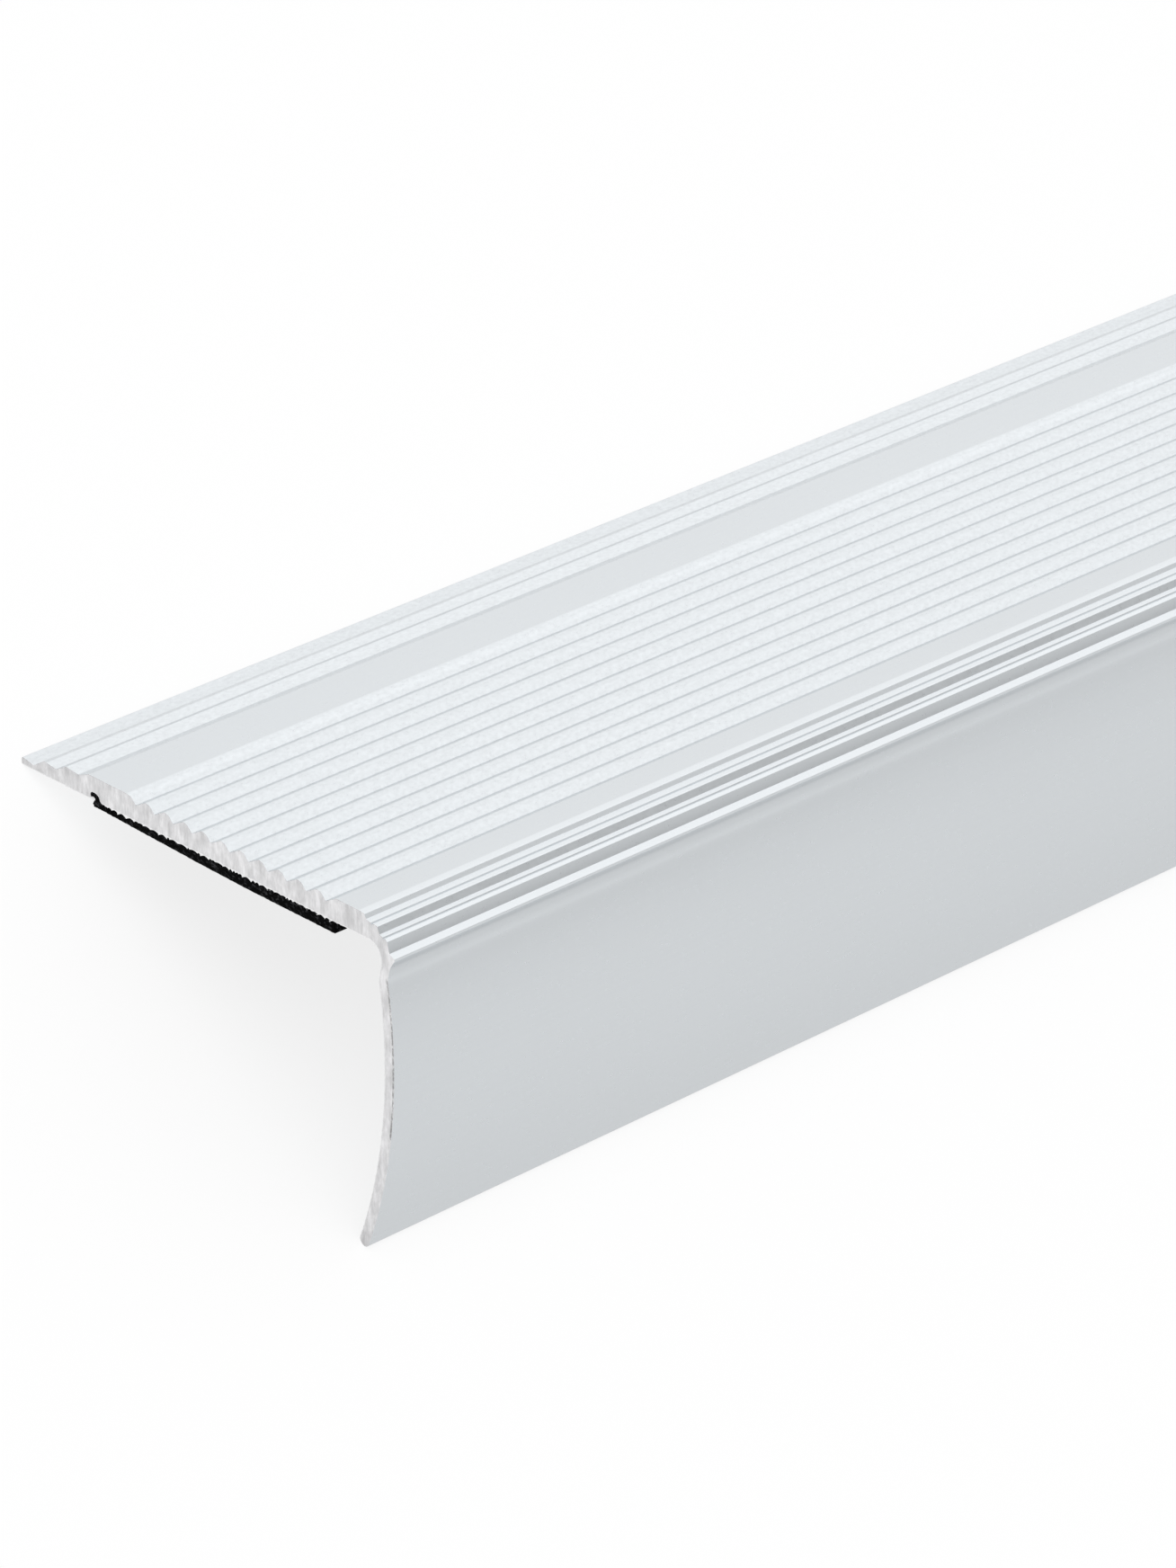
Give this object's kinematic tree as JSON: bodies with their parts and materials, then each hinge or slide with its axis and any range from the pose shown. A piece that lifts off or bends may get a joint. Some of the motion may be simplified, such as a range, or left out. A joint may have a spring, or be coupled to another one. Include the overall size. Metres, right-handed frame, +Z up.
{
  "type": "stair nosing",
  "caption": "Ribbed aluminium angle profile that caps a stair's front edge, with a stepped nose, a bowed flange and an adhesive foam strip.",
  "frame": {"origin": "on the floor under the middle of the box round the nosing as it lies by itself", "axes": "+X along the length, +Y from the flange towards the back edge of the tread, +Z up from the floor"},
  "size_m": [0.9006, 0.0582, 0.0296],
  "materials": {
    "aluminium": "satin silver anodised",
    "foam": "matt black closed-cell foam"
  },
  "bodies": {
    "root": {"nosing_profile": "aluminium", "adhesive_strip": "foam"}
  },
  "joints": []
}
